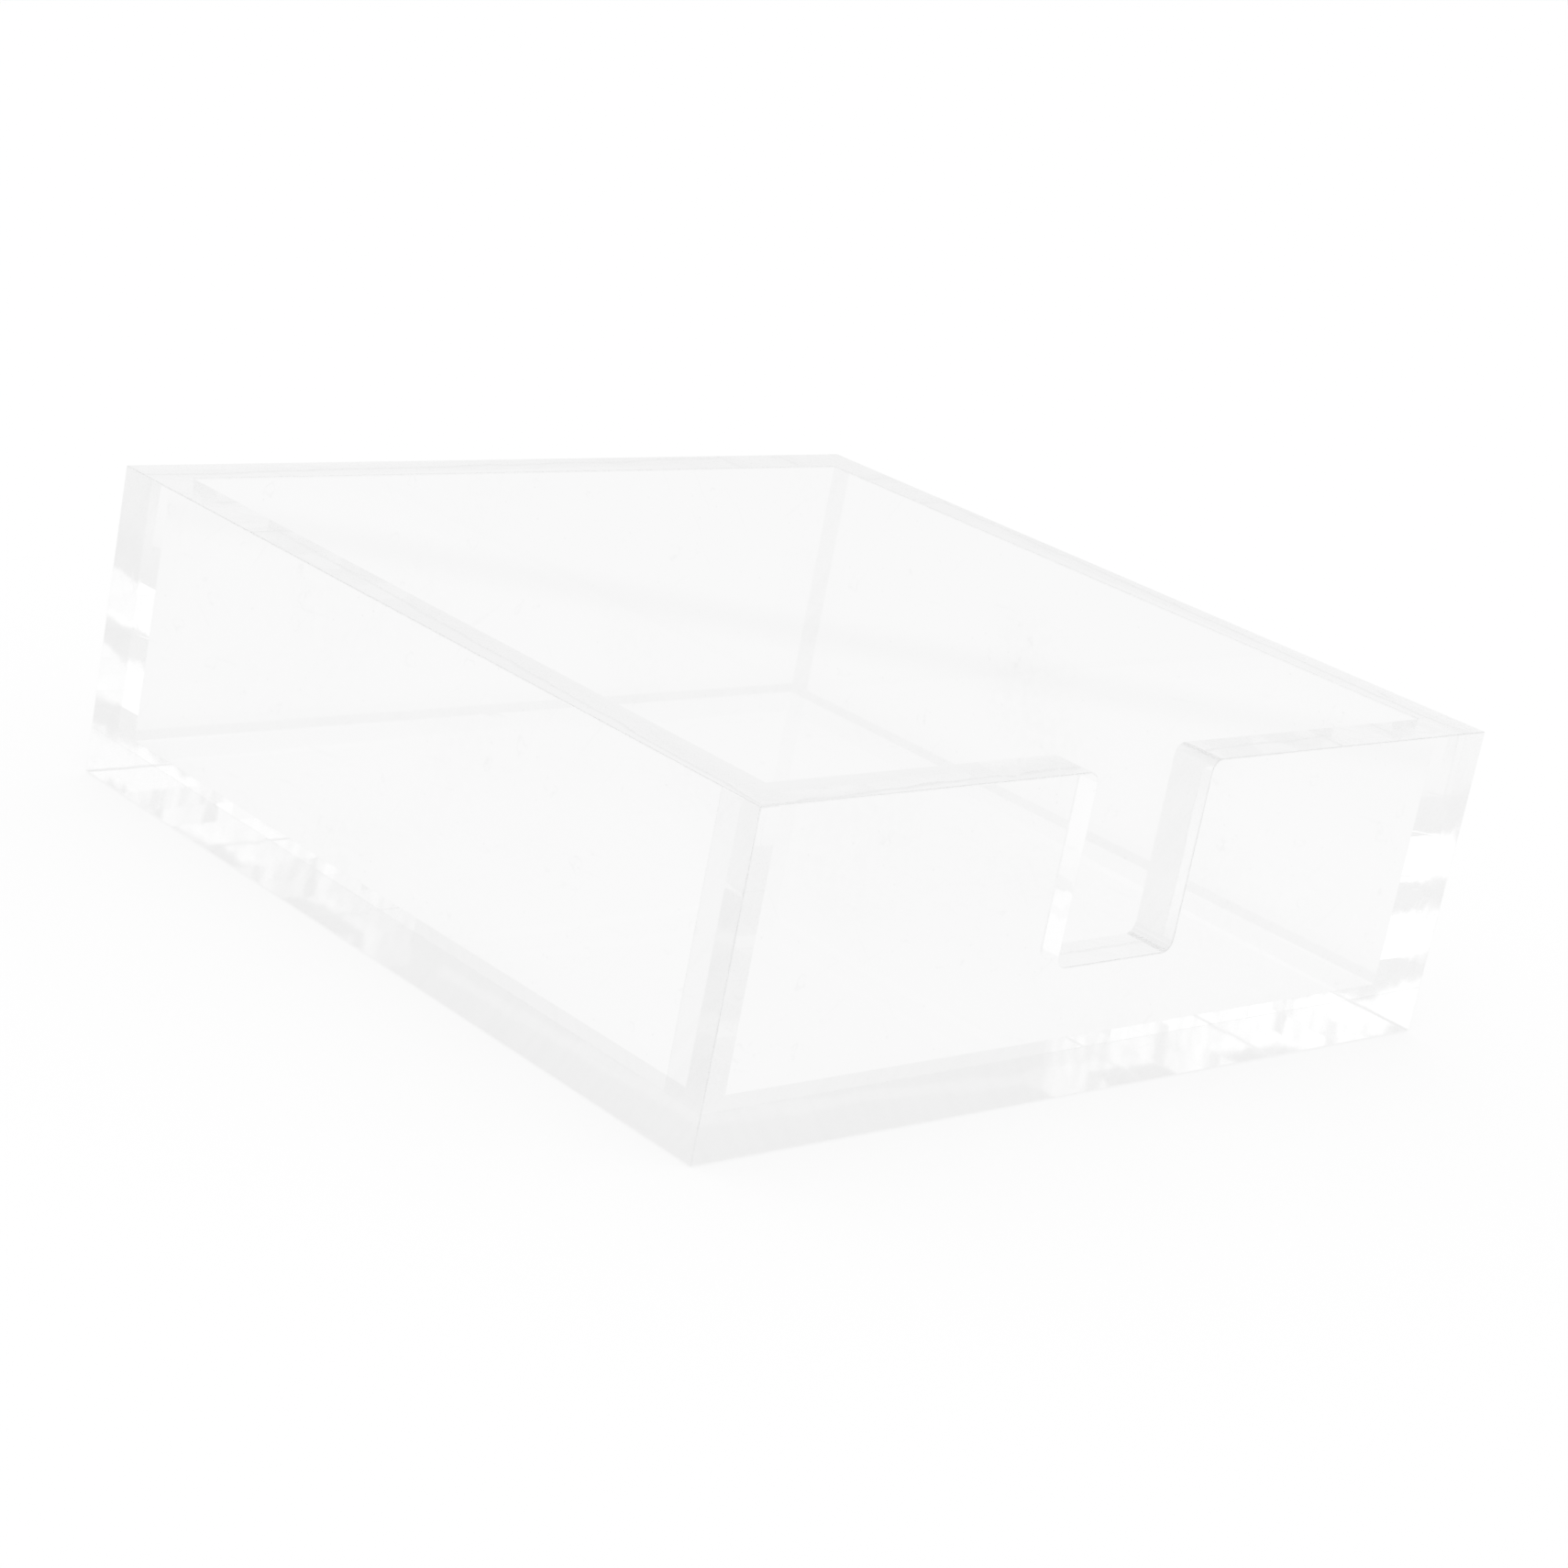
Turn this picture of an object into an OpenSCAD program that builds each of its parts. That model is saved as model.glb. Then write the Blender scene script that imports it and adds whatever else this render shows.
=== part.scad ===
// Open square napkin tray of clear acrylic sheet.
// A base panel carries four upright panels, cemented edge to face, and the front one has a finger slot.
// Millimetres. The origin is the middle of the underside, +Z is up and the slotted front faces -Y.

/* [Tray] */
// Outside width, left to right
tray_w = 190.5; // [140:0.5:260]
// Outside depth, front to back
tray_d = 190.5; // [140:0.5:260]
// Height from the underside to the rim
tray_h = 63.5; // [52:0.5:110]

/* [Sheet] */
// Thickness of the sheet that the four upright panels are cut from
wall_t = 9.525; // [5:0.025:13]
// Thickness of the sheet that the base panel is cut from
base_t = 9.525; // [5:0.025:13]
// Legs of the small bevel that breaks every edge left open to the hand
edge_break = 0.4; // [0.2:0.05:0.9]

/* [Finger slot] */
// Width of the slot between its two straight sides
slot_w = 30.2; // [20:0.1:90]
// Depth of the slot, from the rim down to its floor
slot_depth = 37.3; // [20:0.1:48]
// Radius that the cutter leaves in the slot's two floor corners
slot_floor_r = 2.4; // [1:0.1:9]
// Radius that eases the slot's two top corners into the rim
slot_lip_r = 2.4; // [1.5:0.1:8]

/* [Hidden] */
$fn = 64;

// How far a cutting shape runs past the face that it cuts
overrun = 0.5;
// Red, green, blue and opacity of the clear sheet
clear_sheet = [0.91, 0.94, 0.95, 0.4];

// Clear size inside the four upright panels
inner_w = tray_w - 2 * wall_t;
inner_d = tray_d - 2 * wall_t;
// Height of an upright panel, which stands on the base panel
wall_h = tray_h - base_t;
// Level of the slot's floor above the underside
slot_floor_z = tray_h - slot_depth;

// Diamond bar along Z, centred on an edge, that takes the corner off it
module edge_cutter(length) {
    linear_extrude(length + 2 * overrun, center = true)
        polygon([[edge_break, 0], [0, edge_break], [-edge_break, 0], [0, -edge_break]]);
}

// Bevels along the twelve outside edges of the tray
module outside_bevels() {
    for (x = [-1, 1], y = [-1, 1])
        translate([x * tray_w / 2, y * tray_d / 2, tray_h / 2])
            edge_cutter(tray_h);
    for (z = [0, tray_h], side = [-1, 1]) {
        translate([0, side * tray_d / 2, z])
            rotate([0, 90, 0])
                edge_cutter(tray_w);
        translate([side * tray_w / 2, 0, z])
            rotate([90, 0, 0])
                edge_cutter(tray_d);
    }
}

// Section of the bevelled mouth across an inside size, drawn with its height along Y
module mouth_section(inner) {
    foot = inner / 2;
    brim = foot + edge_break + overrun;
    polygon([
        [-foot, tray_h - edge_break],
        [foot, tray_h - edge_break],
        [brim, tray_h + overrun],
        [-brim, tray_h + overrun],
    ]);
}

// Bevel around the inside of the rim, mitred at the four corners
module mouth_bevel() {
    intersection() {
        rotate([90, 0, 0])
            linear_extrude(tray_d, center = true)
                mouth_section(inner_w);
        rotate([90, 0, 90])
            linear_extrude(tray_w, center = true)
                mouth_section(inner_d);
    }
}

// What a round of radius r leaves of the square corner at the origin
module corner_spandrel(r) {
    difference() {
        square(r);
        translate([r, r])
            circle(r);
    }
}

// Outline of the slot in the plane of the front panel, height along Y, open at the rim
module slot_outline() {
    difference() {
        translate([-slot_w / 2, slot_floor_z])
            square([slot_w, slot_depth + overrun]);
        for (side = [0, 1])
            mirror([side, 0])
                translate([-slot_w / 2, slot_floor_z])
                    corner_spandrel(slot_floor_r);
    }
    for (side = [0, 1])
        mirror([side, 0])
            translate([slot_w / 2, tray_h])
                mirror([0, 1])
                    corner_spandrel(slot_lip_r);
}

// Right-angled section of an edge bevel: X leads away from the slot, Y into the sheet
module bevel_section() {
    reach = edge_break + overrun;
    polygon([[-overrun, -overrun], [reach, -overrun], [-overrun, reach]]);
}

// Bevel along half of the slot's edge, on the face that lies in the XY plane
module half_slot_bevel() {
    straight = slot_depth - slot_floor_r - slot_lip_r;
    translate([slot_w / 2, slot_floor_z + slot_floor_r, 0])
        rotate([90, 0, 0])
            mirror([0, 0, 1])
                linear_extrude(straight)
                    bevel_section();
    translate([0, slot_floor_z, 0])
        rotate([90, 0, 90])
            linear_extrude(slot_w / 2 - slot_floor_r)
                mirror([1, 0])
                    bevel_section();
    translate([slot_w / 2 - slot_floor_r, slot_floor_z + slot_floor_r, 0])
        rotate(-90)
            rotate_extrude(angle = 90)
                translate([slot_floor_r, 0])
                    bevel_section();
    translate([slot_w / 2 + slot_lip_r, tray_h - slot_lip_r, 0])
        rotate(90)
            rotate_extrude(angle = 90)
                translate([slot_lip_r, 0])
                    mirror([1, 0])
                        bevel_section();
}

// Bevel along the whole of the slot's edge, on the face that lies in the XY plane
module slot_bevel() {
    for (side = [0, 1])
        mirror([side, 0, 0])
            half_slot_bevel();
}

// Cut for the finger slot, with both of its edges bevelled
module finger_slot() {
    translate([0, wall_t - tray_d / 2, 0])
        rotate([90, 0, 0]) {
            translate([0, 0, -overrun])
                linear_extrude(wall_t + 2 * overrun)
                    slot_outline();
            slot_bevel();
            translate([0, 0, wall_t])
                mirror([0, 0, 1])
                    slot_bevel();
        }
}

// Upright panel that runs the whole width, standing on the base at the back
module cross_panel() {
    difference() {
        translate([-tray_w / 2, tray_d / 2 - wall_t, base_t])
            cube([tray_w, wall_t, wall_h]);
        outside_bevels();
        mouth_bevel();
    }
}

// Upright panel that fits between the front and back ones, standing on the base at the right
module side_panel() {
    difference() {
        translate([tray_w / 2 - wall_t, -inner_d / 2, base_t])
            cube([wall_t, inner_d, wall_h]);
        outside_bevels();
        mouth_bevel();
    }
}

module base_panel() {
    color(clear_sheet)
        difference() {
            translate([-tray_w / 2, -tray_d / 2, 0])
                cube([tray_w, tray_d, base_t]);
            outside_bevels();
        }
}

module front_panel() {
    color(clear_sheet)
        difference() {
            mirror([0, 1, 0])
                cross_panel();
            finger_slot();
        }
}

module back_panel() {
    color(clear_sheet)
        cross_panel();
}

module left_side_panel() {
    color(clear_sheet)
        mirror([1, 0, 0])
            side_panel();
}

module right_side_panel() {
    color(clear_sheet)
        side_panel();
}

base_panel();
front_panel();
back_panel();
left_side_panel();
right_side_panel();
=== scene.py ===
"""Looks of an open napkin tray of clear acrylic sheet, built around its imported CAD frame."""

import logging
import math
from dataclasses import dataclass
from enum import Enum
from typing import Callable

import bmesh
import bpy
from mathutils import Matrix, Vector


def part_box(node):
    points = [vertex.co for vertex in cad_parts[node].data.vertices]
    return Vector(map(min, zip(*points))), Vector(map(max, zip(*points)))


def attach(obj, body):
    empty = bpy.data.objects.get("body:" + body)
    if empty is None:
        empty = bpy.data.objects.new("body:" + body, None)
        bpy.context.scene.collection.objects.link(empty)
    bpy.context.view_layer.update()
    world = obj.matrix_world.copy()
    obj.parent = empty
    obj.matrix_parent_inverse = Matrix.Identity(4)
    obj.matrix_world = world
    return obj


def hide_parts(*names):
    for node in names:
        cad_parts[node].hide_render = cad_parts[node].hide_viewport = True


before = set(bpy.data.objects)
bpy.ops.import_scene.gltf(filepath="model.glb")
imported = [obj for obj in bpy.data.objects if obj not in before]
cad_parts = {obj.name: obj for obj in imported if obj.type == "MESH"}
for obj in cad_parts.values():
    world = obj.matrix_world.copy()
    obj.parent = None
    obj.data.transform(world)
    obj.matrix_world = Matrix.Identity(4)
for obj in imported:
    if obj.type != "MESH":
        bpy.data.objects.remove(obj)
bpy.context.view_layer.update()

LOG = logging.getLogger("napkin_tray")
BODY = "root"

MM = 0.001
NEAR = 0.01 * MM
SQUARE_ON = 0.9
EDGE_ON = 0.1
SLANT_LIMIT = 0.995
SIDES = (-1.0, 1.0)
X_AXIS = Vector((1.0, 0.0, 0.0))
Y_AXIS = Vector((0.0, 1.0, 0.0))
Z_AXIS = Vector((0.0, 0.0, 1.0))
MANY_BOUNCES = 1000

Socket = bpy.types.NodeSocket
Value = bpy.types.NodeSocket | float
Span = tuple[float, float]
Triple = tuple[float, float, float]


class Surface(Enum):
    """Material slots of a panel, in their order on the mesh."""

    FACE = 0
    EDGE = 1
    SLOT = 2
    RIM = 3
    ARRIS = 4
    WELD = 5


@dataclass(frozen=True)
class TraySizes:
    """Sizes of the tray in metres, in the frame of the CAD model."""

    half_width: float
    half_depth: float
    height: float
    wall: float
    slot_width: float = 30.2 * MM
    slot_depth: float = 37.3 * MM
    slot_floor_radius: float = 2.4 * MM
    slot_lip_radius: float = 2.4 * MM
    edge_round: float = 0.3 * MM
    joint_break: float = 0.03 * MM

    @classmethod
    def from_frame(cls) -> "TraySizes":
        """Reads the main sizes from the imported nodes.

        Returns:
            The sizes that the panels share.
        """
        back_low, back_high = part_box("back_panel")
        return cls(
            half_width=back_high.x,
            half_depth=back_high.y,
            height=back_high.z,
            wall=back_high.y - back_low.y,
        )

    @property
    def inner_half_width(self) -> float:
        """Half of the clear width between the side panels."""
        return self.half_width - self.wall

    @property
    def inner_half_depth(self) -> float:
        """Half of the clear depth between the front and back panels."""
        return self.half_depth - self.wall

    @property
    def slot_floor(self) -> float:
        """Level of the finger slot's floor."""
        return self.height - self.slot_depth


class Bench:
    """Hand tools of the mesh bench, which act on one object at a time."""

    SHARP = math.radians(28.0)
    FLAT = math.radians(1.0)
    ROUND_PROFILE = 0.5

    @staticmethod
    def clear() -> None:
        """Leaves nothing selected."""
        bpy.ops.object.select_all(action="DESELECT")

    @staticmethod
    def block(name: str, low: Vector, high: Vector) -> bpy.types.Object:
        """Adds a block at its size and place, with its object at the origin.

        Args:
            name: Name of the new piece.
            low: Lowest corner.
            high: Highest corner.

        Returns:
            The new object, alone in the selection and in edit mode.
        """
        Bench.clear()
        bpy.ops.mesh.primitive_cube_add(size=1.0, location=(low + high) / 2, scale=high - low)
        piece = bpy.context.object
        piece.name = name
        piece.data.name = name
        bpy.ops.object.transform_apply(location=True, rotation=True, scale=True)
        bpy.ops.object.mode_set(mode="EDIT")
        return piece

    @staticmethod
    def select_faces(piece: bpy.types.Object, wanted: Callable[[Vector, Vector], bool]) -> None:
        """Selects faces by their place and normal, in edit mode.

        Args:
            piece: Object in edit mode.
            wanted: Test that gets a face's middle and normal.
        """
        bpy.ops.mesh.select_mode(type="FACE")
        bpy.ops.mesh.select_all(action="DESELECT")
        mesh = bmesh.from_edit_mesh(piece.data)
        for face in mesh.faces:
            if wanted(face.calc_center_median(), face.normal):
                face.select_set(True)
        mesh.select_flush_mode()
        bmesh.update_edit_mesh(piece.data)

    @staticmethod
    def select_edges(piece: bpy.types.Object, wanted: Callable[[bmesh.types.BMEdge], bool]) -> None:
        """Selects edges in edit mode.

        Args:
            piece: Object in edit mode.
            wanted: Test that gets an edge.
        """
        bpy.ops.mesh.select_mode(type="EDGE")
        bpy.ops.mesh.select_all(action="DESELECT")
        mesh = bmesh.from_edit_mesh(piece.data)
        mesh.normal_update()
        for edge in mesh.edges:
            if wanted(edge):
                edge.select_set(True)
        mesh.select_flush_mode()
        bmesh.update_edit_mesh(piece.data)

    @staticmethod
    def scribe(point: Vector, normal: Vector) -> None:
        """Scores the selected faces along the plane through a point, square to a normal."""
        bpy.ops.mesh.bisect(plane_co=point, plane_no=normal, use_fill=False)

    @staticmethod
    def draw_out(step: Vector) -> None:
        """Draws the selected faces out by a step."""
        bpy.ops.mesh.extrude_region_move(TRANSFORM_OT_translate={"value": tuple(step)})

    @staticmethod
    def ease(width: float, segments: int) -> None:
        """Rounds or bevels the selected edges.

        Args:
            width: Legs of the bevel, or radius of the round.
            segments: Facets across it.
        """
        bpy.ops.mesh.bevel(
            offset_type="OFFSET",
            offset=width,
            segments=segments,
            profile=Bench.ROUND_PROFILE,
            affect="EDGES",
            clamp_overlap=False,
            loop_slide=True,
            miter_outer="SHARP",
            miter_inner="SHARP",
        )


@dataclass
class SheetPanel:
    """One flat panel of clear sheet, which its neighbours are welded to.

    Its tests of a face, such as is_weld, take the face's middle and its outward normal.
    """

    node: str
    low: Vector
    high: Vector
    sizes: TraySizes
    piece: bpy.types.Object | None = None

    ROUND_SEGMENTS = 4
    BREAK_SEGMENTS = 1

    def is_weld(self, middle: Vector, normal: Vector) -> bool:
        """Tells whether a face is welded to a neighbour."""
        raise NotImplementedError

    def is_edge_cut(self, middle: Vector, normal: Vector) -> bool:
        """Tells whether a face is an edge of the sheet, trimmed flush: some panels have none."""
        return False

    def is_slot_wall(self, middle: Vector, normal: Vector) -> bool:
        """Tells whether a face is a wall of the finger slot: most panels have none."""
        return False

    def is_rim(self, middle: Vector, normal: Vector) -> bool:
        """Tells whether a face is an edge of the sheet at the tray's mouth."""
        return normal.z > SQUARE_ON and middle.z > self.sizes.height - NEAR

    def is_arris(self, middle: Vector, normal: Vector) -> bool:
        """Tells whether a face slants, as the faces of an eased edge do."""
        return max(abs(part) for part in normal) < SLANT_LIMIT

    def cut(self) -> None:
        """Cuts the panel's outline from the sheet."""
        self.piece = Bench.block(self.node + "_sheet", self.low, self.high)

    def welded_sides(self, edge: bmesh.types.BMEdge) -> int:
        """Counts the faces at an edge that are welded.

        Args:
            edge: Edge of the panel.

        Returns:
            The count, or -1 where the edge isn't sharp.
        """
        if edge.calc_face_angle(0.0) < Bench.SHARP:
            return -1
        return sum(self.is_weld(face.calc_center_median(), face.normal) for face in edge.link_faces)

    def ease_edges(self) -> None:
        """Rounds the edges left open to the hand and breaks the edges along the welds."""
        Bench.select_edges(self.piece, lambda edge: self.welded_sides(edge) == 0)
        Bench.ease(self.sizes.edge_round, self.ROUND_SEGMENTS)
        Bench.select_edges(self.piece, lambda edge: self.welded_sides(edge) == 1)
        Bench.ease(self.sizes.joint_break, self.BREAK_SEGMENTS)

    def finish_mesh(self) -> None:
        """Gives the faces their material slots and their normals."""
        tests = {
            Surface.EDGE: self.is_edge_cut,
            Surface.SLOT: self.is_slot_wall,
            Surface.RIM: self.is_rim,
            Surface.ARRIS: self.is_arris,
            Surface.WELD: self.is_weld,
        }
        for surface, test in tests.items():
            Bench.select_faces(self.piece, test)
            self.piece.active_material_index = surface.value
            bpy.ops.object.material_slot_assign()
        bpy.ops.mesh.select_all(action="SELECT")
        bpy.ops.mesh.normals_make_consistent(inside=False)
        bpy.ops.object.mode_set(mode="OBJECT")
        bpy.ops.object.shade_smooth_by_angle(angle=Bench.SHARP)
        bpy.ops.object.modifier_add(type="WEIGHTED_NORMAL")
        weigher = self.piece.modifiers[-1]
        weigher.keep_sharp = True
        bpy.ops.object.modifier_apply(modifier=weigher.name)

    def build(self) -> bpy.types.Object:
        """Makes the panel's mesh.

        Returns:
            The panel's piece, still in edit mode.
        """
        self.cut()
        self.ease_edges()
        return self.piece

    def dress(self, finishes: dict[Surface, bpy.types.Material]) -> None:
        """Puts the finishes on the panel and fixes it to the frame.

        Args:
            finishes: Material of each kind of surface.
        """
        for surface in Surface:
            self.piece.data.materials.append(finishes[surface])
        self.finish_mesh()
        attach(self.piece, BODY)
        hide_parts(self.node)


@dataclass
class BasePanel(SheetPanel):
    """Square panel that the four upright panels stand on."""

    def cut(self) -> None:
        """Cuts the square and scores the strip that the upright panels cover."""
        super().cut()
        reach_x = self.sizes.inner_half_width + self.sizes.joint_break
        reach_y = self.sizes.inner_half_depth + self.sizes.joint_break
        for side in SIDES:
            for axis, reach in ((X_AXIS, reach_x), (Y_AXIS, reach_y)):
                Bench.select_faces(self.piece, self.is_top)
                Bench.scribe(axis * (side * reach), axis)

    def is_top(self, middle: Vector, normal: Vector) -> bool:
        """The upper face, in one piece or scored."""
        return normal.z > SQUARE_ON and middle.z > self.high.z - NEAR

    def is_weld(self, middle: Vector, normal: Vector) -> bool:
        """Finds the strip of the upper face under the upright panels.

        Args:
            middle: Middle of the face.
            normal: Outward normal of the face.

        Returns:
            True for the strip.
        """
        past_x = abs(middle.x) > self.sizes.inner_half_width
        past_y = abs(middle.y) > self.sizes.inner_half_depth
        return self.is_top(middle, normal) and (past_x or past_y)

    def is_edge_cut(self, middle: Vector, normal: Vector) -> bool:
        """The four sides."""
        return abs(normal.z) < EDGE_ON


@dataclass
class UprightPanel(SheetPanel):
    """Panel that stands on the base."""

    def is_foot(self, middle: Vector, normal: Vector) -> bool:
        """The underside, which is welded to the base."""
        return normal.z < -SQUARE_ON and middle.z < self.low.z + NEAR


@dataclass
class CrossPanel(UprightPanel):
    """Upright panel of the full width, at the back, or at the front with a slot."""

    @property
    def facing(self) -> float:
        """Sign of the Y direction that the outer face looks in."""
        return math.copysign(1.0, self.low.y + self.high.y)

    @property
    def inner_y(self) -> float:
        """Place of the inner face."""
        return self.facing * self.sizes.inner_half_depth

    def score_ends(self) -> None:
        """Scores the limits of the strips that the side panels butt against."""
        reach = self.sizes.inner_half_width + self.sizes.joint_break
        for side in SIDES:
            bpy.ops.mesh.select_all(action="SELECT")
            Bench.scribe(X_AXIS * (side * reach), X_AXIS)

    def cut(self) -> None:
        """Cuts the panel and scores its ends."""
        super().cut()
        self.score_ends()

    def is_weld(self, middle: Vector, normal: Vector) -> bool:
        """Finds the underside, and the two strips of the inner face at the side panels.

        Args:
            middle: Middle of the face.
            normal: Outward normal of the face.

        Returns:
            True for the underside and for a strip.
        """
        if self.is_foot(middle, normal):
            return True
        inward = normal.y * self.facing < -SQUARE_ON and abs(middle.y - self.inner_y) < NEAR
        return inward and abs(middle.x) > self.sizes.inner_half_width

    def is_edge_cut(self, middle: Vector, normal: Vector) -> bool:
        """The two ends."""
        return abs(normal.x) > SQUARE_ON and abs(middle.x) > self.sizes.half_width - NEAR


@dataclass
class SlottedPanel(CrossPanel):
    """Front panel, with the finger slot cut down from its rim."""

    ARC_SEGMENTS = 14

    def cut(self) -> None:
        """Draws the panel round its slot, as two posts and the bridge between them."""
        sizes = self.sizes
        half_slot = sizes.slot_width / 2
        floor = sizes.slot_floor
        post_high = Vector((-half_slot, self.high.y, self.high.z))
        self.piece = Bench.block(self.node + "_sheet", self.low, post_high)
        bpy.ops.mesh.select_all(action="SELECT")
        Bench.scribe(Z_AXIS * floor, Z_AXIS)
        Bench.select_faces(
            self.piece,
            lambda middle, normal: normal.x > SQUARE_ON and middle.z < floor,
        )
        for step in (sizes.slot_width, sizes.half_width - half_slot):
            Bench.draw_out(X_AXIS * step)
        Bench.select_faces(
            self.piece,
            lambda middle, normal: (
                normal.z > SQUARE_ON and middle.x > half_slot and middle.z < self.high.z - NEAR
            ),
        )
        Bench.draw_out(Z_AXIS * sizes.slot_depth)
        bpy.ops.mesh.select_all(action="SELECT")
        bpy.ops.mesh.dissolve_limited(angle_limit=Bench.FLAT)
        for level, radius in ((floor, sizes.slot_floor_radius), (sizes.height, sizes.slot_lip_radius)):
            for side in SIDES:
                self.ease_corner(side * half_slot, level, radius)
        self.score_ends()

    def ease_corner(self, x: float, level: float, radius: float) -> None:
        """Rounds one corner of the slot.

        Args:
            x: Place of the corner, left to right.
            level: Level of the corner.
            radius: Radius of the round.
        """
        Bench.select_edges(
            self.piece,
            lambda edge: all(
                abs(vertex.co.x - x) < NEAR and abs(vertex.co.z - level) < NEAR for vertex in edge.verts
            ),
        )
        Bench.ease(radius, self.ARC_SEGMENTS)

    def is_slot_wall(self, middle: Vector, normal: Vector) -> bool:
        """The sides and floor of the slot, with their rounded corners."""
        between = abs(middle.x) < self.sizes.slot_width / 2 + self.sizes.slot_lip_radius
        return between and abs(normal.y) < EDGE_ON and middle.z > self.sizes.slot_floor - NEAR

    def is_arris(self, middle: Vector, normal: Vector) -> bool:
        """The eased edges, without the slot's rounded corners."""
        return super().is_arris(middle, normal) and not self.is_slot_wall(middle, normal)


@dataclass
class SidePanel(UprightPanel):
    """Upright panel that fits between the front and back ones."""

    def is_weld(self, middle: Vector, normal: Vector) -> bool:
        """The underside and both ends."""
        at_end = abs(abs(middle.y) - self.sizes.inner_half_depth) < NEAR
        return self.is_foot(middle, normal) or (abs(normal.y) > SQUARE_ON and at_end)


class Nodes:
    """Writer of one node tree."""

    def __init__(self, tree: bpy.types.NodeTree) -> None:
        """Takes a tree to write and empties it."""
        self.tree = tree
        tree.nodes.clear()

    def add(self, kind: str, **settings: object) -> bpy.types.Node:
        """Adds a node.

        Args:
            kind: Type of the node.
            settings: Values of its plain properties.

        Returns:
            The new node.
        """
        node = self.tree.nodes.new(kind)
        for name, value in settings.items():
            setattr(node, name, value)
        return node

    def link(self, source: Socket, target: Socket) -> None:
        """Joins two sockets."""
        self.tree.links.new(source, target)

    def show(self, kind: str, shader: Socket) -> None:
        """Adds the tree's output and joins a shader to it."""
        self.link(shader, self.add(kind).inputs["Surface"])

    def feed(self, value: Value, socket: Socket) -> None:
        """Sets an input from a socket or a plain value.

        Args:
            value: Socket or number.
            socket: Input to set.
        """
        if isinstance(value, bpy.types.NodeSocket):
            self.link(value, socket)
        else:
            socket.default_value = value

    def math(self, operation: str, *values: Value) -> Socket:
        """Adds a calculation.

        Args:
            operation: Name of the operation.
            values: Sockets or numbers that it takes.

        Returns:
            The result's socket.
        """
        node = self.add("ShaderNodeMath", operation=operation)
        for socket, value in zip(node.inputs, values):
            self.feed(value, socket)
        return node.outputs[0]

    def weighted(self, start: Value, *parts: tuple[Socket, float]) -> Value:
        """Adds weighted values to a start value.

        Args:
            start: Start of the sum.
            parts: Pairs of a value and its weight.

        Returns:
            The sum.
        """
        total = start
        for value, weight in parts:
            total = self.math("MULTIPLY_ADD", value, weight, total)
        return total

    def ramp(self, value: Socket, span: Span, results: Span = (0.0, 1.0)) -> Socket:
        """Maps a value smoothly from one range to another.

        Args:
            value: Socket to map.
            span: Values at which the ramp starts and ends.
            results: Results there, and beyond.

        Returns:
            The result's socket.
        """
        node = self.add("ShaderNodeMapRange", interpolation_type="SMOOTHSTEP", clamp=True)
        self.link(value, node.inputs["Value"])
        for name, number in zip(("From Min", "From Max", "To Min", "To Max"), span + results):
            node.inputs[name].default_value = number
        return node.outputs["Result"]

    def turned(self, place: Socket, turn: Triple, scale: Triple) -> Socket:
        """Turns coordinates, then stretches them.

        Args:
            place: Coordinates.
            turn: Angles about X, Y and Z in degrees.
            scale: Repeats in a metre along each turned axis.

        Returns:
            The new coordinates.
        """
        spin = self.add("ShaderNodeVectorRotate", rotation_type="EULER_XYZ")
        self.link(place, spin.inputs["Vector"])
        spin.inputs["Rotation"].default_value = [math.radians(angle) for angle in turn]
        stretch = self.add("ShaderNodeVectorMath", operation="MULTIPLY")
        self.link(spin.outputs["Vector"], stretch.inputs[0])
        stretch.inputs[1].default_value = scale
        return stretch.outputs["Vector"]

    def noise(
        self,
        place: Socket,
        scale: float = 1.0,
        detail: float = 1.0,
        output: str = "Fac",
    ) -> Socket:
        """Adds a noise pattern.

        Args:
            place: Coordinates.
            scale: Repeats in a unit of the coordinates.
            detail: Octaves after the first.
            output: Name of the output to use.

        Returns:
            The noise's value, or its colour.
        """
        node = self.add("ShaderNodeTexNoise")
        self.link(place, node.inputs["Vector"])
        node.inputs["Scale"].default_value = scale
        node.inputs["Detail"].default_value = detail
        return node.outputs[output]

    def stirred(self, place: Socket, scale: float, amount: float) -> Socket:
        """Shifts coordinates about by a noise pattern, so that what they carry turns uneven.

        Args:
            place: Coordinates.
            scale: Repeats of the noise in a metre.
            amount: Full range of the shift.

        Returns:
            The new coordinates.
        """
        shift = self.add("ShaderNodeVectorMath", operation="MULTIPLY_ADD")
        self.link(self.noise(place, scale, output="Color"), shift.inputs[0])
        shift.inputs[1].default_value = (amount, amount, amount)
        self.link(place, shift.inputs[2])
        return shift.outputs["Vector"]

    def from_seed(self, place: Socket, spacing: float) -> Socket:
        """Measures how far each point is from the nearest of many scattered seeds.

        Args:
            place: Coordinates.
            spacing: Usual distance between seeds.

        Returns:
            The distance in metres.
        """
        node = self.add("ShaderNodeTexVoronoi", feature="F1", distance="EUCLIDEAN")
        self.link(place, node.inputs["Vector"])
        node.inputs["Scale"].default_value = 1.0 / spacing
        return self.math("MULTIPLY", node.outputs["Distance"], spacing)


def new_material(name: str) -> tuple[bpy.types.Material, Nodes]:
    """Adds an empty material.

    Args:
        name: Name of the material.

    Returns:
        The material and the writer of its tree.
    """
    made = bpy.data.materials.new(name)
    made.use_nodes = True
    return made, Nodes(made.node_tree)


@dataclass(frozen=True)
class Look:
    """Tint and roughness of a clean surface, or what a full mark adds to them."""

    tint: float
    rough: float


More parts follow.
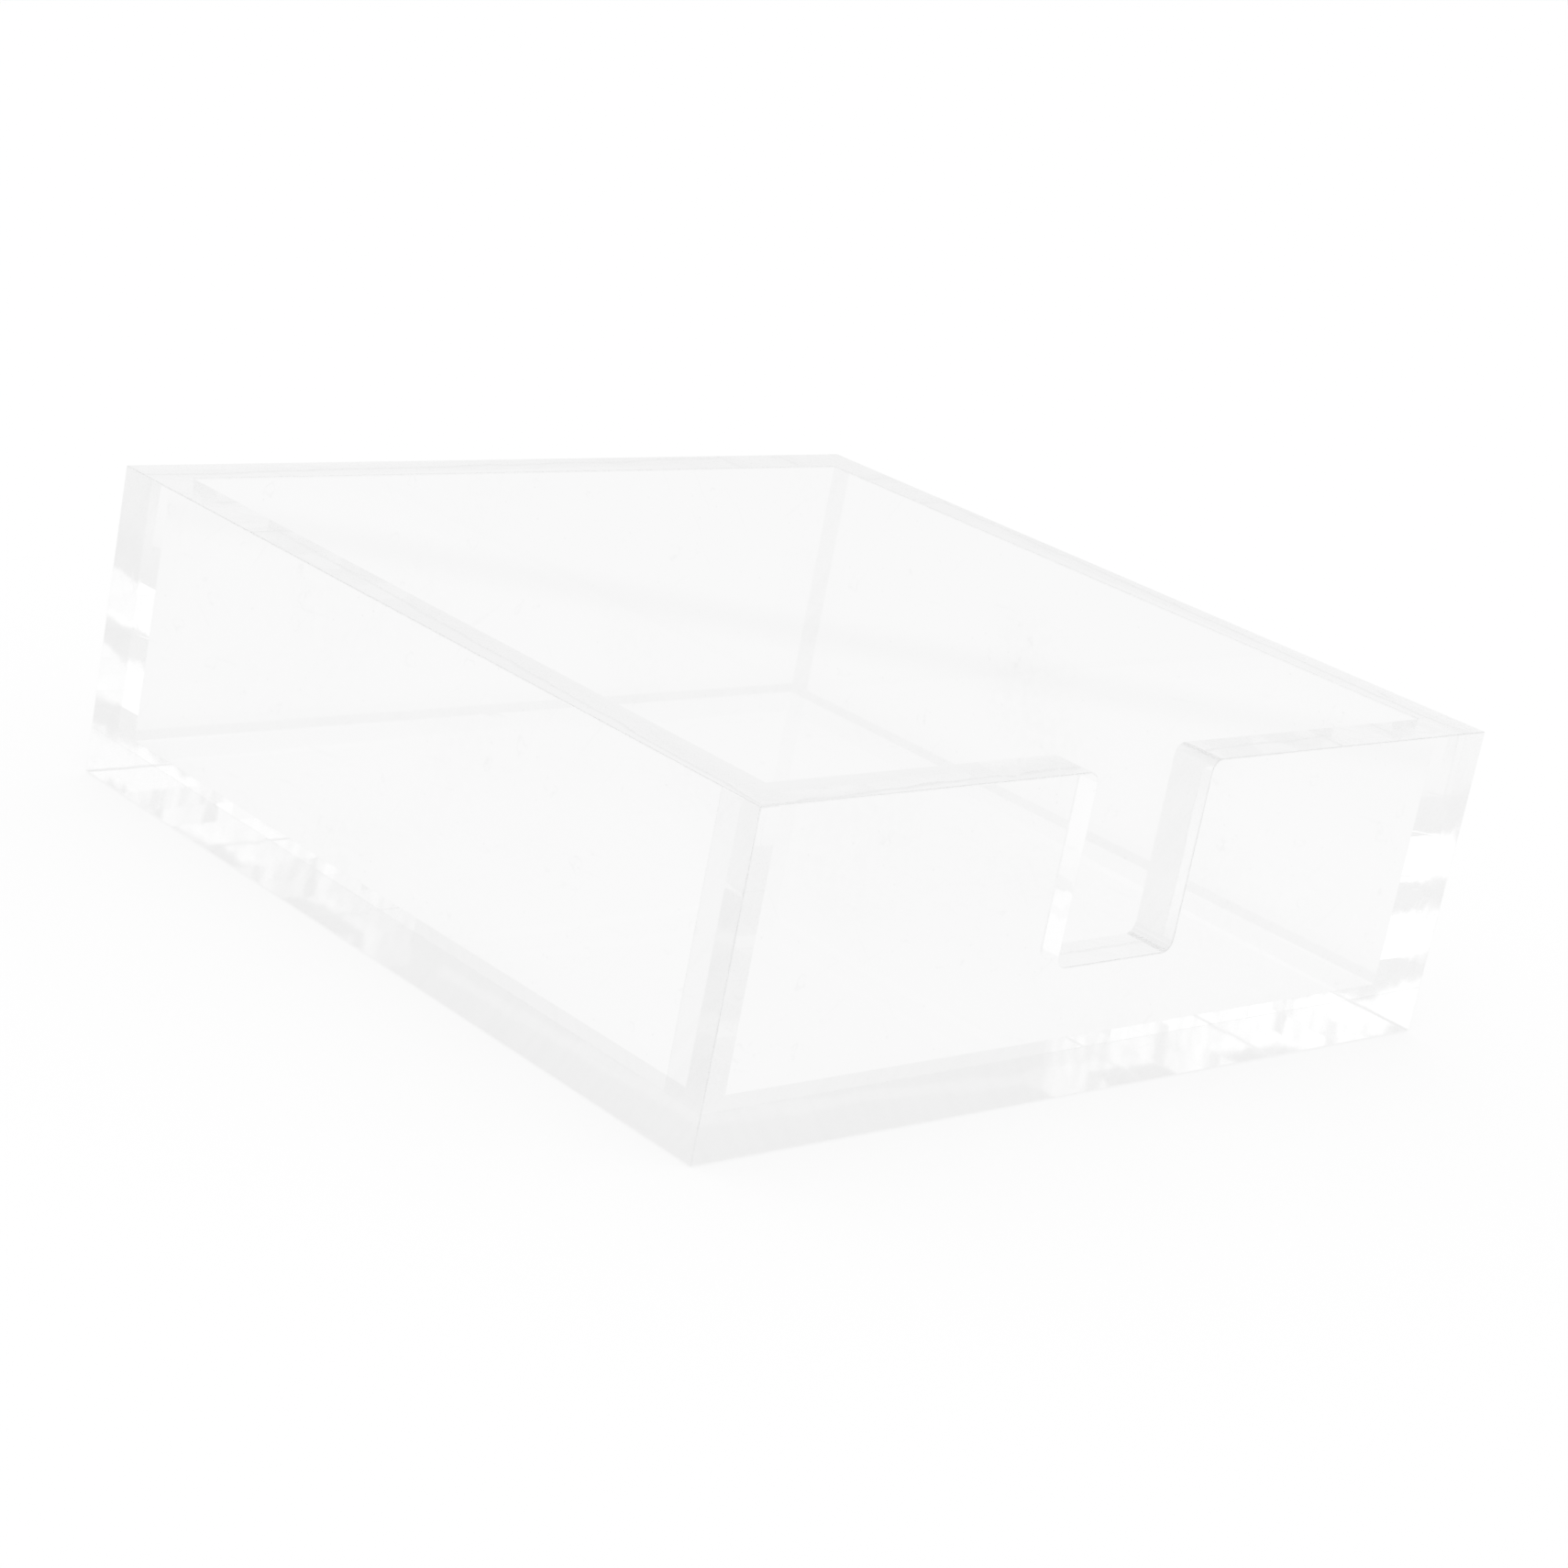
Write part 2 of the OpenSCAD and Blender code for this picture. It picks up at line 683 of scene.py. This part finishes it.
@dataclass(frozen=True)
class ClearSheet:
    """Clear cast sheet, which its finishes share."""

    name: str
    clean: Look
    ior: float = 1.49

    def material(self) -> bpy.types.Material:
        """Makes the material.

        Returns:
            The new material.
        """
        made, nodes = new_material(self.name)
        shader = nodes.add("ShaderNodeBsdfPrincipled")
        shader.inputs["IOR"].default_value = self.ior
        shader.inputs["Transmission Weight"].default_value = 1.0
        self.mark(nodes, nodes.add("ShaderNodeTexCoord").outputs["Object"], shader)
        nodes.show("ShaderNodeOutputMaterial", shader.outputs["BSDF"])
        return made

    def mark(self, nodes: Nodes, place: Socket, shader: bpy.types.Node) -> None:
        """Gives the surface its colour, roughness and relief, by its place on the piece."""
        raise NotImplementedError

    def tone(self, nodes: Nodes, shader: bpy.types.Node, *marks: tuple[Socket, Look]) -> None:
        """Sets the shader's colour and roughness.

        Args:
            nodes: Tree to write.
            shader: Shader to feed.
            marks: Pairs of a mark's cover and what it adds to the clean surface.
        """
        tint = nodes.weighted(self.clean.tint, *((cover, look.tint) for cover, look in marks))
        rough = nodes.weighted(self.clean.rough, *((cover, look.rough) for cover, look in marks))
        nodes.link(tint, shader.inputs["Base Color"])
        nodes.link(rough, shader.inputs["Roughness"])

    def relief(self, nodes: Nodes, shader: bpy.types.Node, *patterns: tuple[Socket, float]) -> None:
        """Presses patterns into the surface.

        Args:
            nodes: Tree to write.
            shader: Shader to feed.
            patterns: Pairs of a pattern and its full height in metres.
        """
        bump = nodes.add("ShaderNodeBump")
        bump.inputs["Strength"].default_value = 1.0
        bump.inputs["Distance"].default_value = 1.0
        nodes.link(nodes.weighted(0.0, *patterns), bump.inputs["Height"])
        nodes.link(bump.outputs["Normal"], shader.inputs["Normal"])


@dataclass(frozen=True)
class HandledFace(ClearSheet):
    """Polished face of the sheet, with a film of wiping, dried drops, dust and hairline scratches."""

    name: str = "clear_sheet_face"
    clean: Look = Look(tint=1.0, rough=0.0)
    mottling_repeats: float = 480.0
    mottling_span: Span = (0.4, 0.64)
    mottling_cover: Span = (0.1, 1.0)
    film_repeats: float = 24.0
    film_span: Span = (0.5, 0.74)
    film_look: Look = Look(tint=-0.018, rough=0.004)
    drop_spacing: float = 15.0 * MM
    drop_radius: float = 1.4 * MM
    drop_rim: float = 0.4 * MM
    drop_ragged: float = 4.5 * MM
    drop_ragged_repeats: float = 420.0
    drop_look: Look = Look(tint=-0.07, rough=0.012)
    dust_spacing: float = 4.2 * MM
    dust_core: float = 0.084 * MM
    dust_radius: float = 0.21 * MM
    dust_look: Look = Look(tint=-0.2, rough=0.04)
    scratch_turns: tuple[Triple, Triple] = ((28.0, 34.0, 12.0), (-41.0, 22.0, 67.0))
    scratch_repeats: Triple = (1500.0, 55.0, 55.0)
    scratch_span: Span = (0.8, 0.88)
    scratch_look: Look = Look(tint=-0.03, rough=0.015)
    scratch_depth: float = 0.004 * MM

    def mottling(self, nodes: Nodes, place: Socket) -> Socket:
        """Fine mottling, into which the film and the drops break up."""
        noise = nodes.noise(place, self.mottling_repeats)
        return nodes.ramp(noise, self.mottling_span, self.mottling_cover)

    def film(self, nodes: Nodes, place: Socket) -> Socket:
        """Cloudy film that a cloth leaves."""
        return nodes.ramp(nodes.noise(place, self.film_repeats), self.film_span)

    def drops(self, nodes: Nodes, place: Socket) -> Socket:
        """Draws the uneven rims of dried water drops.

        Args:
            nodes: Tree to write.
            place: Coordinates on the piece.

        Returns:
            Cover of the rims.
        """
        ragged = nodes.stirred(place, self.drop_ragged_repeats, self.drop_ragged)
        away = nodes.math("SUBTRACT", nodes.from_seed(ragged, self.drop_spacing), self.drop_radius)
        return nodes.ramp(nodes.math("ABSOLUTE", away), (0.0, self.drop_rim), (1.0, 0.0))

    def dust(self, nodes: Nodes, place: Socket) -> Socket:
        """Specks of dust."""
        away = nodes.from_seed(place, self.dust_spacing)
        return nodes.ramp(away, (self.dust_core, self.dust_radius), (1.0, 0.0))

    def scratches(self, nodes: Nodes, place: Socket) -> Socket:
        """Draws hairline scratches, which run two ways.

        Args:
            nodes: Tree to write.
            place: Coordinates on the piece.

        Returns:
            Cover of the scratches.
        """
        ways = []
        for turn in self.scratch_turns:
            thin = nodes.turned(place, turn, self.scratch_repeats)
            ways.append(nodes.ramp(nodes.noise(thin, detail=0.0), self.scratch_span))
        return nodes.math("MAXIMUM", *ways)

    def mark(self, nodes: Nodes, place: Socket, shader: bpy.types.Node) -> None:
        """Lays the marks over the clear face.

        Args:
            nodes: Tree to write.
            place: Coordinates on the piece.
            shader: Shader to feed.
        """
        mottling = self.mottling(nodes, place)
        scratches = self.scratches(nodes, place)
        self.tone(
            nodes,
            shader,
            (nodes.math("MULTIPLY", self.film(nodes, place), mottling), self.film_look),
            (nodes.math("MULTIPLY", self.drops(nodes, place), mottling), self.drop_look),
            (self.dust(nodes, place), self.dust_look),
            (scratches, self.scratch_look),
        )
        self.relief(nodes, shader, (scratches, -self.scratch_depth))


@dataclass(frozen=True)
class CutEdge(ClearSheet):
    """Sawn edge of the sheet, buffed a little wavy, with faint slanting saw lines left in it."""

    line_turn: Triple = (0.0, 35.0, -45.0)
    line_repeats: Triple = (900.0, 20.0, 20.0)
    line_span: Span = (0.45, 0.7)
    line_look: Look = Look(tint=-0.015, rough=0.004)
    line_depth: float = 0.0006 * MM
    wave_repeats: float = 90.0
    wave_depth: float = 0.12 * MM

    def mark(self, nodes: Nodes, place: Socket, shader: bpy.types.Node) -> None:
        """Lays the saw lines and the buffer's waves over the clear edge.

        Args:
            nodes: Tree to write.
            place: Coordinates on the piece.
            shader: Shader to feed.
        """
        slant = nodes.turned(place, self.line_turn, self.line_repeats)
        lines = nodes.ramp(nodes.noise(slant), self.line_span)
        waves = nodes.noise(place, self.wave_repeats)
        self.tone(nodes, shader, (lines, self.line_look))
        self.relief(nodes, shader, (lines, self.line_depth), (waves, self.wave_depth))


@dataclass(frozen=True)
class ScrapedArris(ClearSheet):
    """Eased edge of the sheet, scraped by hand and left satin."""

    name: str = "clear_sheet_arris"
    clean: Look = Look(tint=0.965, rough=0.03)
    chatter_repeats: float = 700.0
    chatter_span: Span = (0.35, 0.65)
    chatter_look: Look = Look(tint=-0.04, rough=0.035)
    chatter_depth: float = 0.002 * MM

    def mark(self, nodes: Nodes, place: Socket, shader: bpy.types.Node) -> None:
        """Lays the scraper's chatter over the arris.

        Args:
            nodes: Tree to write.
            place: Coordinates on the piece.
            shader: Shader to feed.
        """
        chatter = nodes.ramp(nodes.noise(place, self.chatter_repeats), self.chatter_span)
        self.tone(nodes, shader, (chatter, self.chatter_look))
        self.relief(nodes, shader, (chatter, self.chatter_depth))


@dataclass(frozen=True)
class Weld:
    """Solvent weld between two panels, which leaves nothing to see inside the joint."""

    name: str = "solvent_weld"

    def material(self) -> bpy.types.Material:
        """Makes the material.

        Returns:
            The new material.
        """
        made, nodes = new_material(self.name)
        clear = nodes.add("ShaderNodeBsdfTransparent")
        nodes.show("ShaderNodeOutputMaterial", clear.outputs["BSDF"])
        return made


@dataclass
class NapkinTray:
    """The whole tray: five panels of clear sheet, welded edge to face."""

    sizes: TraySizes

    PANELS = (
        ("base_panel", BasePanel),
        ("front_panel", SlottedPanel),
        ("back_panel", CrossPanel),
        ("left_side_panel", SidePanel),
        ("right_side_panel", SidePanel),
    )

    def build(self) -> None:
        """Makes the panels and dresses them."""
        panels = [kind(node, *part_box(node), self.sizes) for node, kind in self.PANELS]
        finishes = {
            Surface.FACE: HandledFace().material(),
            Surface.EDGE: CutEdge("clear_sheet_edge", Look(tint=0.945, rough=0.07)).material(),
            Surface.SLOT: CutEdge("clear_sheet_slot", Look(tint=0.955, rough=0.02)).material(),
            Surface.RIM: CutEdge("clear_sheet_rim", Look(tint=0.89, rough=0.02)).material(),
            Surface.ARRIS: ScrapedArris().material(),
            Surface.WELD: Weld().material(),
        }
        for panel in panels:
            piece = panel.build()
            panel.dress(finishes)
            LOG.info("%s: %d faces", piece.name, len(piece.data.polygons))


@dataclass(frozen=True)
class SoftBox:
    """Soft lamp that looks at the tray, brightest in its middle, and placed by angles in degrees."""

    name: str
    azimuth: float
    elevation: float
    brightness: float
    side: float = 0.7
    distance: float = 1.1
    core: float = 0.2
    border: float = 0.5

    MIDDLE = (0.5, 0.5, 0.0)

    def fade(self, nodes: Nodes) -> None:
        """Fades the lamp from its core to its border.

        Args:
            nodes: Tree to write.
        """
        glow = nodes.add("ShaderNodeEmission")
        away = nodes.add("ShaderNodeVectorMath", operation="DISTANCE")
        nodes.link(nodes.add("ShaderNodeNewGeometry").outputs["Parametric"], away.inputs[0])
        away.inputs[1].default_value = self.MIDDLE
        faded = nodes.ramp(away.outputs["Value"], (self.core, self.border), (1.0, 0.0))
        nodes.link(faded, glow.inputs["Strength"])
        nodes.show("ShaderNodeOutputLight", glow.outputs["Emission"])

    def build(self) -> None:
        """Hangs the lamp."""
        data = bpy.data.lights.new(self.name, type="AREA")
        data.shape = "SQUARE"
        data.size = self.side
        data.energy = math.pi * self.side ** 2 * self.brightness
        data.use_nodes = True
        self.fade(Nodes(data.node_tree))
        lamp = bpy.data.objects.new(self.name, data)
        bpy.context.scene.collection.objects.link(lamp)
        around = math.radians(self.azimuth)
        above = math.radians(self.elevation)
        level = math.cos(above)
        away = Vector((level * math.cos(around), level * math.sin(around), math.sin(above)))
        turn = away.to_track_quat("Z", "Y").to_matrix()
        lamp.matrix_world = Matrix.Translation(away * self.distance) @ turn.to_4x4()


@dataclass(frozen=True)
class LitPlace:
    """Round place on the table with a painted pool of light, lighter than the rest."""

    x: float
    y: float
    reach: float
    gain: float

    def glow(self, nodes: Nodes, x: Socket, y: Socket) -> Socket:
        """Measures the place's painted extra light.

        Args:
            nodes: Tree to write.
            x: Place on the table, left to right.
            y: Place on the table, front to back.

        Returns:
            The painted extra light, which fades out at the reach.
        """
        steps = (nodes.math("SUBTRACT", x, self.x), nodes.math("SUBTRACT", y, self.y))
        square = nodes.math("ADD", *(nodes.math("MULTIPLY", step, step) for step in steps))
        return nodes.ramp(nodes.math("SQRT", square), (0.0, self.reach), (self.gain, 0.0))


@dataclass(frozen=True)
class Studio:
    """White table and pale walls of a studio, with two soft boxes."""

    tray_half: float
    floor_half: float = 5.0
    floor_level: float = -0.3 * MM
    floor_white: float = 0.97
    floor_glow: float = 0.85
    table_tone: float = 0.947
    # Painted light: the table's tone under the tray, lighter than the rest of the table.
    painted_under_tray_tone: float = 0.96
    wall_tone: float = 0.92
    room_light: float = 1.04
    # Painted shadow on the table round the tray, and how far out it fades.
    contact_shade: float = 0.025
    contact_reach: float = 45.0 * MM
    # Painted shade in a band behind the tray, where a studio table would bend up.
    bend_shade: float = 0.022
    bend_place: float = 215.0 * MM
    bend_reach: float = 26.0 * MM
    # Painted pools of light on the table near the lamps.
    lit_places: tuple[LitPlace, ...] = (
        LitPlace(-180.0 * MM, 0.0, reach=140.0 * MM, gain=0.05),
        LitPlace(150.0 * MM, -155.0 * MM, reach=110.0 * MM, gain=0.058),
    )
    soft_boxes: tuple[SoftBox, ...] = (
        SoftBox("soft_box_left", azimuth=148.0, elevation=19.0, brightness=0.2),
        SoftBox("soft_box_front", azimuth=-57.0, elevation=14.0, brightness=0.15),
    )

    DIAGONAL = math.sqrt(0.5)

    def build(self) -> None:
        """Makes the table, the walls and the lamps."""
        self.lay_floor()
        self.hang_walls()
        for box in self.soft_boxes:
            box.build()

    def ray_kinds(self, nodes: Nodes) -> tuple[Socket, Socket]:
        """Reads how a ray reached a surface.

        Args:
            nodes: Tree to write.

        Returns:
            Sockets that are 1 for a ray from the camera, and for a mirrored or refracted one.
        """
        path = nodes.add("ShaderNodeLightPath").outputs
        optical = nodes.math("MAXIMUM", path["Is Glossy Ray"], path["Is Transmission Ray"])
        return path["Is Camera Ray"], optical

    def table_shading(self, nodes: Nodes) -> Socket:
        """Paints light and shade into the table's colour, as the clear sheet shows the table.

        The table carries painted light under the tray and near the lamps, a painted shadow round the
        tray, and a painted band of shade behind it, where a studio table would bend up.

        Args:
            nodes: Tree to write.

        Returns:
            Brightness of the table.
        """
        place = nodes.add("ShaderNodeSeparateXYZ")
        nodes.link(nodes.add("ShaderNodeTexCoord").outputs["Object"], place.inputs["Vector"])
        x, y = place.outputs["X"], place.outputs["Y"]
        reach = nodes.math("MAXIMUM", nodes.math("ABSOLUTE", x), nodes.math("ABSOLUTE", y))
        out = nodes.math("SUBTRACT", reach, self.tray_half)
        outside = nodes.math("GREATER_THAN", out, 0.0)
        # Even table tone, with painted light under the tray.
        table = nodes.ramp(outside, (0.0, 1.0), (self.painted_under_tray_tone, self.table_tone))
        # Painted pools of light near the lamps.
        lit = nodes.weighted(0.0, *((spot.glow(nodes, x, y), 1.0) for spot in self.lit_places))
        # Painted contact shadow round the tray.
        near = nodes.ramp(out, (0.0, self.contact_reach), (self.contact_shade, 0.0))
        gain = nodes.math("MULTIPLY", nodes.math("SUBTRACT", lit, near), outside)
        ahead = nodes.math("MULTIPLY", nodes.math("ADD", x, y), self.DIAGONAL)
        bend = nodes.math("ABSOLUTE", nodes.math("SUBTRACT", ahead, self.bend_place))
        # Painted band of shade behind the tray.
        painted_bend_shade = nodes.ramp(bend, (0.0, self.bend_reach), (self.bend_shade, 0.0))
        return nodes.math("SUBTRACT", nodes.math("ADD", table, gain), painted_bend_shade)

    def lay_floor(self) -> None:
        """Lays the pale table, white to the camera and with the tray's shadow on it."""
        Bench.clear()
        bpy.ops.mesh.primitive_plane_add(size=2 * self.floor_half)
        floor = bpy.context.object
        floor.name = "studio_floor"
        floor.location.z = self.floor_level
        made, nodes = new_material("pale_floor")
        matt = nodes.add("ShaderNodeBsdfDiffuse")
        matt.inputs["Color"].default_value = (self.floor_white, self.floor_white, self.floor_white, 1.0)
        glow = nodes.add("ShaderNodeEmission")
        camera, optical = self.ray_kinds(nodes)
        tone = nodes.add("ShaderNodeMix", data_type="FLOAT")
        nodes.link(optical, tone.inputs["Factor"])
        tone.inputs["A"].default_value = 1.0
        # In the clear sheet the table is emission that shows its painted light and shade, not the
        # lamps' light.
        nodes.link(self.table_shading(nodes), tone.inputs["B"])
        nodes.link(tone.outputs["Result"], glow.inputs["Color"])
        mix = nodes.add("ShaderNodeMixShader")
        nodes.link(nodes.weighted(optical, (camera, self.floor_glow)), mix.inputs["Fac"])
        nodes.link(matt.outputs["BSDF"], mix.inputs[1])
        nodes.link(glow.outputs["Emission"], mix.inputs[2])
        nodes.show("ShaderNodeOutputMaterial", mix.outputs["Shader"])
        floor.data.materials.append(made)

    def hang_walls(self) -> None:
        """Makes the walls of the studio: white to the camera, pale grey in the polished sheet."""
        world = bpy.data.worlds.new("studio_walls")
        bpy.context.scene.world = world
        world.use_nodes = True
        nodes = Nodes(world.node_tree)
        glow = nodes.add("ShaderNodeBackground")
        camera, optical = self.ray_kinds(nodes)
        to_white = (camera, 1.0 - self.room_light)
        to_pale = (optical, self.wall_tone - self.room_light)
        nodes.link(nodes.weighted(self.room_light, to_white, to_pale), glow.inputs["Color"])
        nodes.show("ShaderNodeOutputWorld", glow.outputs["Background"])


@dataclass(frozen=True)
class Viewpoint:
    """Camera at the photograph's viewing angle."""

    place: Triple = (-0.48415, -0.48945, 0.2427)
    ahead: Triple = (0.67339958, 0.67528993, -0.30085962)
    roll: float = math.radians(11.0864)
    sensor: float = 36.0
    lens: float = 83.866
    nearest: float = 0.01

    def build(self) -> None:
        """Adds the camera and makes it the scene's own."""
        data = bpy.data.cameras.new("photo_view")
        data.sensor_fit = "HORIZONTAL"
        data.sensor_width = self.sensor
        data.lens = self.lens
        data.clip_start = self.nearest
        camera = bpy.data.objects.new("photo_view", data)
        bpy.context.scene.collection.objects.link(camera)
        ahead = Vector(self.ahead).normalized()
        level_right = ahead.cross(Z_AXIS).normalized()
        level_up = level_right.cross(ahead)
        up = level_up * math.cos(self.roll) - level_right * math.sin(self.roll)
        turn = Matrix((ahead.cross(up), up, -ahead)).transposed()
        camera.matrix_world = Matrix.Translation(self.place) @ turn.to_4x4()
        bpy.context.scene.camera = camera


def set_light_paths() -> None:
    """Lets rays run inside the sheets until they find a way out.

    A ray cut short shows as a black speck. The normals that such rays meet differ from sample to
    sample, so the denoiser isn't guided by them.
    """
    scene = bpy.context.scene
    scene.view_settings.view_transform = "Standard"
    scene.cycles.max_bounces = MANY_BOUNCES
    scene.cycles.transmission_bounces = MANY_BOUNCES
    scene.cycles.glossy_bounces = MANY_BOUNCES
    scene.cycles.transparent_max_bounces = MANY_BOUNCES
    scene.cycles.min_light_bounces = MANY_BOUNCES
    scene.cycles.min_transparent_bounces = MANY_BOUNCES
    scene.cycles.denoising_input_passes = "RGB"


def main() -> None:
    """Builds the view, the tray and the studio, in that order."""
    logging.basicConfig(level=logging.INFO, format="%(name)s: %(message)s")
    Viewpoint().build()
    sizes = TraySizes.from_frame()
    NapkinTray(sizes).build()
    Studio(sizes.half_width).build()
    set_light_paths()


if __name__ == "__main__":
    main()
